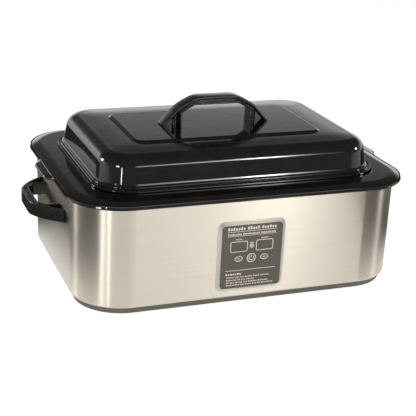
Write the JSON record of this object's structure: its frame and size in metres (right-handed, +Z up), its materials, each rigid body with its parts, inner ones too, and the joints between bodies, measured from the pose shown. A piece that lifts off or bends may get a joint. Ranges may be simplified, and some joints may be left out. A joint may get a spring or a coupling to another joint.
{
  "type": "hot stone heater",
  "caption": "Massage stone heater: rounded stainless casing with a heated well, lift-out black enamel pan, domed lid with strap handle, end handles and a front control panel.",
  "frame": {"origin": "centre of the footprint, on the surface that the rubber feet stand on", "axes": "+X along the long side, -Y towards the front with the control panel, +Z up"},
  "size_m": [0.608, 0.3946, 0.2793],
  "materials": {
    "brushed_stainless": "satin, brushed level, right round the wrap",
    "black_enamel": "high gloss enamel",
    "base_paint": "satin olive grey",
    "handle_plastic": "semi gloss black moulding",
    "foot_rubber": "matt",
    "bezel_silver": "satin silver",
    "overlay_grey": "fine matt warm grey with beige print",
    "display_lens": "smoked",
    "indicator_lens": "clear dome",
    "button_grey": "satin grey with beige print",
    "display_module": "matt black",
    "transformer_core": "varnished",
    "housing_plastic": "natural",
    "circuit_board": "green solder mask",
    "screw_steel": "zinc plated",
    "well_steel": "aluminised sheet",
    "heater_steel": "heat tinted",
    "glass_wool": "fibrous",
    "capsule_steel": "drawn",
    "inlet_plastic": "fine matt black",
    "pin_brass": "nickel plated",
    "wire_cover": "silicone",
    "sensor_cover": "silicone"
  },
  "bodies": {
    "heater_body": {"outer_casing": "brushed_stainless", "base_panel": "base_paint", "base_screws": "screw_steel", "rubber_feet": "foot_rubber", "foot_screws": "screw_steel", "heating_well": "well_steel", "heating_band": "heater_steel", "band_terminals": "screw_steel", "insulation_blanket": "glass_wool", "heat_shield": "well_steel", "left_handle": "handle_plastic", "right_handle": "handle_plastic", "side_handle_screws": "screw_steel", "side_handle_washers": "screw_steel", "panel_bezel": "bezel_silver", "panel_overlay": "overlay_grey", "left_display_window": "display_lens", "right_display_window": "display_lens", "left_display_module": "display_module", "right_display_module": "display_module", "heat_indicator": "indicator_lens", "tactile_switches": "display_module", "control_housing": "housing_plastic", "control_board": "circuit_board", "board_screws": "screw_steel", "board_relay": "display_module", "board_transformer": "transformer_core", "terminal_block": "display_module", "sensor_plug": "display_module", "temperature_sensor": "capsule_steel", "sensor_clip": "screw_steel", "thermal_fuse": "capsule_steel", "fuse_clip": "screw_steel", "power_inlet": "inlet_plastic", "inlet_pins": "pin_brass", "inlet_screws": "screw_steel", "supply_wires": "wire_cover", "heater_wires": "wire_cover", "sensor_wire": "sensor_cover"},
    "insert_pan": {"insert_pan": "black_enamel"},
    "lid": {"lid": "black_enamel", "lid_handle": "handle_plastic", "lid_handle_screws": "screw_steel", "lid_handle_washers": "screw_steel"},
    "minus_button": {"minus_button": "button_grey"},
    "power_button": {"power_button": "button_grey"},
    "plus_button": {"plus_button": "button_grey"}
  },
  "joints": [
    {"name": "pan_lift", "type": "slide", "parent": "heater_body", "child": "insert_pan", "axis": [0, 0, 1], "range_m": [0, 0.15]},
    {"name": "lid_lift", "type": "slide", "parent": "insert_pan", "child": "lid", "axis": [0, 0, 1], "range_m": [0, 0.1]},
    {"name": "minus_press", "type": "slide", "parent": "heater_body", "child": "minus_button", "axis": [0, 1, 0], "range_m": [0, 0.001], "stiffness_N_per_m": 800},
    {"name": "power_press", "type": "slide", "parent": "heater_body", "child": "power_button", "axis": [0, 1, 0], "range_m": [0, 0.001], "stiffness_N_per_m": 800},
    {"name": "plus_press", "type": "slide", "parent": "heater_body", "child": "plus_button", "axis": [0, 1, 0], "range_m": [0, 0.001], "stiffness_N_per_m": 800}
  ]
}
